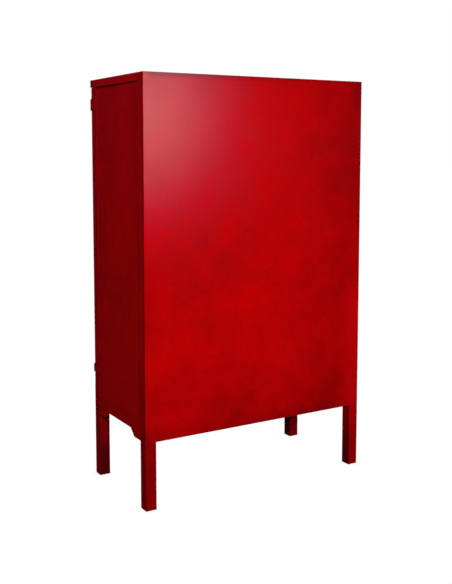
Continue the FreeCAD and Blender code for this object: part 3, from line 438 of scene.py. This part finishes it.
def corner_group():
    """Weights the long outer corners of the case for a fuller round than its other edges."""
    tree, a, b = node_group("corner_weights")

    def calc(op, x, y=0.0):
        n = tree.nodes.new("ShaderNodeMath")
        n.operation = op
        for socket, value in zip(n.inputs, (x, y)):
            if isinstance(value, bpy.types.NodeSocket):
                tree.links.new(value, socket)
            else:
                socket.default_value = value
        return n.outputs[0]

    ends = tree.nodes.new("GeometryNodeInputMeshEdgeVertices")
    outer, heights = 1.0, []
    for which in ("Position 1", "Position 2"):
        part = tree.nodes.new("ShaderNodeSeparateXYZ")
        tree.links.new(ends.outputs[which], part.inputs[0])
        wide = calc("GREATER_THAN", calc("ABSOLUTE", part.outputs[0]), 0.527)
        deep = calc("MAXIMUM", calc("GREATER_THAN", part.outputs[1], 0.2535), calc("LESS_THAN", part.outputs[1], -0.2355))
        outer = calc("MULTIPLY", outer, calc("MULTIPLY", wide, deep))
        heights.append(part.outputs[2])
    flush = 1.0
    for h in heights:
        flush = calc("MULTIPLY", flush, calc("LESS_THAN", calc("ABSOLUTE", calc("SUBTRACT", h, 0.272)), 0.0005))
    tall = calc("GREATER_THAN", calc("ABSOLUTE", calc("SUBTRACT", *heights)), 0.2)
    outer = calc("MULTIPLY", outer, tall)
    angle = tree.nodes.new("GeometryNodeInputMeshEdgeAngle")
    keen = calc("GREATER_THAN", angle.outputs["Unsigned Angle"], math.radians(50))
    keen = calc("MULTIPLY", keen, calc("SUBTRACT", 1.0, flush))
    store = tree.nodes.new("GeometryNodeStoreNamedAttribute")
    store.data_type = "FLOAT"
    store.domain = "EDGE"
    store.inputs["Name"].default_value = "bevel_weight_edge"
    tree.links.new(a.outputs[0], store.inputs["Geometry"])
    tree.links.new(calc("MULTIPLY", keen, calc("ADD", calc("MULTIPLY", outer, 0.62), 0.38)), store.inputs["Value"])
    tree.links.new(store.outputs[0], b.inputs[0])
    return tree


WELD, SMOOTH, CORNER = weld_group(), smooth_group(), corner_group()


def ease(obj, width, segments=2, corners=False):
    m = obj.modifiers.new("weld", "NODES")
    m.node_group = WELD
    m = obj.modifiers.new("flats", "DECIMATE")
    m.decimate_type = "DISSOLVE"
    m.angle_limit = math.radians(0.5)
    if corners:
        m = obj.modifiers.new("corners", "NODES")
        m.node_group = CORNER
    m = obj.modifiers.new("eased", "BEVEL")
    m.limit_method = "WEIGHT" if corners else "ANGLE"
    m.angle_limit = math.radians(50)
    m.width = width
    m.segments = segments
    m.use_clamp_overlap = True
    m = obj.modifiers.new("smooth", "NODES")
    m.node_group = SMOOTH
    m = obj.modifiers.new("weighted", "WEIGHTED_NORMAL")
    m.weight = 100
    m.keep_sharp = True


for name, obj in NODES.items():
    if name == "back_panel" or name.endswith("_post"):
        ease(obj, 0.0024, 3, corners=True)
        if name == "rear_right_post":
            m = obj.modifiers.new("tidy", "NODES")
            m.node_group = WELD
            obj.modifiers.move(len(obj.modifiers) - 1, len(obj.modifiers) - 3)
    elif name in ("top_left_rail", "top_right_rail"):
        ease(obj, 0.0009)
        obj.modifiers["eased"].loop_slide = False
    elif SLOT[name] in ("red_lacquer", "inner_wood"):
        ease(obj, 0.0009)
    elif name.endswith("_lock_plate"):
        ease(obj, 0.0006, 3)
    elif name.endswith("_pull"):
        ease(obj, 0.0004, 3)
    elif name.endswith("_nails") or name == "lock_bar":
        for title, group in (("weld", WELD), ("smooth", SMOOTH)):
            m = obj.modifiers.new(title, "NODES")
            m.node_group = group


# ------------------------------------------------------------------ beads on the lock plate
PLATE_FACE, PLATE_Z = -0.2385, 1.030


def bead(name, body, sign, radius, width, height, gap=0.0021, steps=96):
    """A half-round bead raised on one half of the lock plate, closed at both ends."""
    profile = [(-width / 2, -0.0002), (width / 2, -0.0002)]
    for k in range(9):
        a = math.pi * k / 8
        profile.append((width / 2 * math.cos(a), height * math.sin(a)))
    bm = bmesh.new()
    rings = []
    for s in range(steps + 1):
        ring = []
        for dr, dh in profile:
            r = radius + dr
            stop = math.acos(gap / r)
            a = stop * (2.0 * s / steps - 1.0)
            ring.append(bm.verts.new((sign * r * math.cos(a), PLATE_FACE - dh, PLATE_Z + r * math.sin(a))))
        rings.append(ring)
    n = len(profile)
    for p, q in zip(rings, rings[1:]):
        for k in range(n):
            bm.faces.new((p[k], p[(k + 1) % n], q[(k + 1) % n], q[k]))
    bm.faces.new(rings[0])
    bm.faces.new(rings[-1])
    bmesh.ops.recalc_face_normals(bm, faces=bm.faces)
    mesh = bpy.data.meshes.new(name)
    bm.to_mesh(mesh)
    bm.free()
    for f in mesh.polygons:
        f.use_smooth = len(f.vertices) == 4
    obj = bpy.data.objects.new(name, mesh)
    SCENE.collection.objects.link(obj)
    paint(obj, BRASS)
    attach(obj, body)
    return obj


BEADS = []
for side, sign in (("right", 1.0), ("left", -1.0)):
    BEADS.append(bead(side + "_plate_rim_bead", side + "_door", sign, 0.0931, 0.0040, 0.0016))
    BEADS.append(bead(side + "_plate_inner_bead", side + "_door", sign, 0.0745, 0.0022, 0.0009))
    BEADS.append(bead(side + "_plate_fine_bead", side + "_door", sign, 0.0705, 0.0012, 0.0006))

# ------------------------------------------------------------------ stage
def floor_material():
    """White sweep with a faint contact shadow; dull to everything but the camera."""
    mat = bpy.data.materials.new("stage_floor")
    mat.use_nodes = True
    t = mat.node_tree
    t.nodes.clear()
    out = t.nodes.new("ShaderNodeOutputMaterial")
    path = t.nodes.new("ShaderNodeLightPath")
    seen = t.nodes.new("ShaderNodeMixShader")
    near = t.nodes.new("ShaderNodeAmbientOcclusion")
    near.samples = 12
    near.inputs["Distance"].default_value = 0.05
    tone = t.nodes.new("ShaderNodeMapRange")
    tone.inputs["From Min"].default_value = 0.35
    tone.inputs["From Max"].default_value = 1.0
    tone.inputs["To Min"].default_value = 0.88
    tone.inputs["To Max"].default_value = 1.02
    t.links.new(near.outputs["AO"], tone.inputs["Value"])
    glow = t.nodes.new("ShaderNodeEmission")
    glow.inputs["Color"].default_value = (1, 1, 1, 1)
    t.links.new(tone.outputs["Result"], glow.inputs["Strength"])
    dull = t.nodes.new("ShaderNodeBsdfDiffuse")
    dull.inputs["Color"].default_value = (0.05, 0.05, 0.05, 1)
    t.links.new(path.outputs["Is Camera Ray"], seen.inputs[0])
    t.links.new(dull.outputs[0], seen.inputs[1])
    t.links.new(glow.outputs[0], seen.inputs[2])
    t.links.new(seen.outputs[0], out.inputs["Surface"])
    return mat


mesh = bpy.data.meshes.new("stage_floor")
bm = bmesh.new()
bmesh.ops.create_grid(bm, x_segments=1, y_segments=1, size=40)
bm.to_mesh(mesh)
bm.free()
floor = bpy.data.objects.new("stage_floor", mesh)
SCENE.collection.objects.link(floor)
paint(floor, floor_material())
floor.visible_glossy = False

world = bpy.data.worlds.new("studio")
SCENE.world = world
world.use_nodes = True
wt = world.node_tree
wt.nodes.clear()
w_out = wt.nodes.new("ShaderNodeOutputWorld")
w_path = wt.nodes.new("ShaderNodeLightPath")
w_mix = wt.nodes.new("ShaderNodeMixShader")
w_gloss = wt.nodes.new("ShaderNodeMixShader")
shade = {}
for key, level in (("seen", 1.0), ("fill", 0.10), ("gloss", 0.004)):
    b = wt.nodes.new("ShaderNodeBackground")
    b.inputs["Color"].default_value = (1, 1, 1, 1)
    b.inputs["Strength"].default_value = level
    shade[key] = b
wt.links.new(w_path.outputs["Is Glossy Ray"], w_gloss.inputs[0])
wt.links.new(shade["fill"].outputs[0], w_gloss.inputs[1])
wt.links.new(shade["gloss"].outputs[0], w_gloss.inputs[2])
wt.links.new(w_path.outputs["Is Camera Ray"], w_mix.inputs[0])
wt.links.new(w_gloss.outputs[0], w_mix.inputs[1])
wt.links.new(shade["seen"].outputs[0], w_mix.inputs[2])
wt.links.new(w_mix.outputs[0], w_out.inputs["Surface"])


def softbox(name, at, aim, size, power, spread=180.0, colour=(1.0, 1.0, 1.0)):
    d = bpy.data.lights.new(name, "AREA")
    d.shape = "RECTANGLE"
    d.size, d.size_y = size
    d.energy = power
    d.color = colour
    d.spread = math.radians(spread)
    o = bpy.data.objects.new(name, d)
    SCENE.collection.objects.link(o)
    o.location = at
    o.rotation_mode = "QUATERNION"
    o.rotation_quaternion = (Vector(aim) - Vector(at)).to_track_quat("-Z", "Y")
    o.visible_camera = False
    return o


main_box = softbox("main_box", (1.82, 3.6, 2.5), (0.05, 0.2, 1.12), (1.5, 1.5), 37.0, 72.0)
main_box.visible_glossy = False
def feathered(light, clear):
    """A round soft light: full in the middle, falling evenly to nothing at its rim, rosy in the last part."""
    d = light.data
    d.shape = "ELLIPSE"
    d.use_nodes = True
    t = d.node_tree
    glow = next(n for n in t.nodes if n.type == "EMISSION")
    where = t.nodes.new("ShaderNodeNewGeometry")
    off = t.nodes.new("ShaderNodeVectorMath")
    off.operation = "SUBTRACT"
    off.inputs[1].default_value = (0.5, 0.5, 0.0)
    away = t.nodes.new("ShaderNodeVectorMath")
    away.operation = "LENGTH"
    t.links.new(where.outputs["Parametric"], off.inputs[0])
    t.links.new(off.outputs["Vector"], away.inputs[0])
    ramp = []
    for reach in (0.5, clear):
        n = t.nodes.new("ShaderNodeMapRange")
        n.inputs["From Min"].default_value = reach
        n.inputs["From Max"].default_value = 0.04
        t.links.new(away.outputs["Value"], n.inputs["Value"])
        ramp.append(n.outputs["Result"])
    tone = t.nodes.new("ShaderNodeCombineColor")
    for socket, level in zip(tone.inputs, (ramp[0], ramp[1], ramp[0])):
        t.links.new(level, socket)
    t.links.new(tone.outputs[0], glow.inputs["Color"])


sheen_box = softbox("sheen_box", (-1.169, 3.77, 1.765), (0.544, 0.2555, 1.568), (1.69, 2.11), 32.0)
sheen_box.visible_diffuse = False
feathered(sheen_box, 0.42)
front_box = softbox("front_box", (-1.6, -4.4, 2.6), (0.0, -0.2, 0.9), (1.8, 1.8), 130.0)
front_box.visible_glossy = False
left_box = softbox("left_box", (-4.2, 0.8, 2.4), (-0.5, 0.0, 0.9), (1.4, 1.4), 50.0)
left_box.visible_glossy = False


def only_on(light, pieces):
    """Keeps a light to these pieces."""
    group = bpy.data.collections.new(light.name + "_on")
    for piece in pieces:
        group.objects.link(piece)
    light.light_linking.receiver_collection = group


BRASS_PIECES = BEADS + [NODES[n] for n in NODES if SLOT[n] == "brass"]
FRONT = [NODES[n] for n in NODES if "_door_" in n and SLOT[n] == "red_lacquer"]
FRONT += [NODES[n] for n in ("front_apron", "front_bottom_rail", "top_front_rail")]
# tall soft panels that give the brass and the doors something to reflect
for name, at, size, power in (
    ("brass_panel_left", (-1.7, -3.8, 1.1), (2.2, 3.0), 22.0),
    ("brass_panel_right", (1.7, -3.8, 1.1), (2.2, 3.0), 14.0),
    ("brass_panel_far_left", (-3.6, -2.5, 1.1), (2.0, 3.0), 14.0),
    ("brass_panel_far_right", (3.6, -2.5, 1.1), (2.0, 3.0), 12.0),
    ("brass_panel_low", (0.0, -1.6, 0.12), (3.4, 1.3), 6.0),
    ("brass_panel_high", (0.0, -2.4, 3.6), (3.0, 1.6), 10.0),
):
    panel = softbox(name, at, (0.0, -0.24, 1.05), size, power)
    only_on(panel, BRASS_PIECES)
for name, x, power in (("door_sheen_left", -1.0, 15.0), ("door_sheen_right", 1.0, 12.0)):
    panel = softbox(name, (x, -3.9, 1.75), (0.0, -0.24, 1.3), (1.7, 1.3), power)
    panel.visible_diffuse = False
    only_on(panel, [p for p in FRONT if x < 0 or p not in (NODES["right_door_hinge_stile"], NODES["top_front_rail"])])
# light that comes in under the case to the front legs
low_box = softbox("low_box", (0.5, 3.0, 0.35), (-0.4, -0.2, 0.1), (1.2, 0.4), 10.0)
low_box.visible_glossy = False
only_on(low_box, [NODES["front_left_post"]])
# one sheen for the back, and a soft one each for the sides and the top
only_on(sheen_box, [NODES[n] for n in ("back_panel", "rear_left_post", "rear_right_post")])
for name, at, aim, size, power, on in (
    ("right_sheen", (4.0, 0.0, 1.9), (0.53, 0.0, 1.3), (1.1, 1.3), 7.0, ("right_side_panel", "right_side_apron", "top_right_rail")),
    ("left_sheen", (-4.0, 0.0, 1.9), (-0.53, 0.0, 1.3), (1.1, 1.3), 7.0, ("left_side_panel", "left_side_apron", "top_left_rail")),
    ("top_sheen", (-0.7, 2.9, 3.7), (0.0, 0.0, 1.7), (1.8, 1.6), 8.0, ("top_panel", "top_left_rail", "top_right_rail", "top_front_rail", "top_rear_rail")),
):
    panel = softbox(name, at, aim, size, power)
    panel.visible_diffuse = False
    only_on(panel, [NODES[n] for n in on])

# ------------------------------------------------------------------ camera
YAW, PITCH, ROLL = math.radians(30.1642), math.radians(5.2911), math.radians(-0.1196)
fwd = Vector((-math.sin(YAW) * math.cos(PITCH), -math.cos(YAW) * math.cos(PITCH), -math.sin(PITCH)))
flat = Vector((-math.cos(YAW), math.sin(YAW), 0.0))
rise = flat.cross(fwd)
right = math.cos(ROLL) * flat + math.sin(ROLL) * rise
up = -math.sin(ROLL) * flat + math.cos(ROLL) * rise
cam_data = bpy.data.cameras.new("camera")
cam_data.sensor_width = 36.0
cam_data.lens = 863.81 * 36.0 / 584.0
cam_data.shift_x = (226.0 - 202.94) / 584.0
cam_data.shift_y = (230.83 - 292.0) / 584.0
cam_data.clip_end = 200.0
cam = bpy.data.objects.new("camera", cam_data)
SCENE.collection.objects.link(cam)
cam.matrix_world = Matrix((
    (right.x, up.x, -fwd.x, 1.9718),
    (right.y, up.y, -fwd.y, 3.1744 + 0.0095),
    (right.z, up.z, -fwd.z, 1.4035),
    (0, 0, 0, 1),
))
SCENE.camera = cam
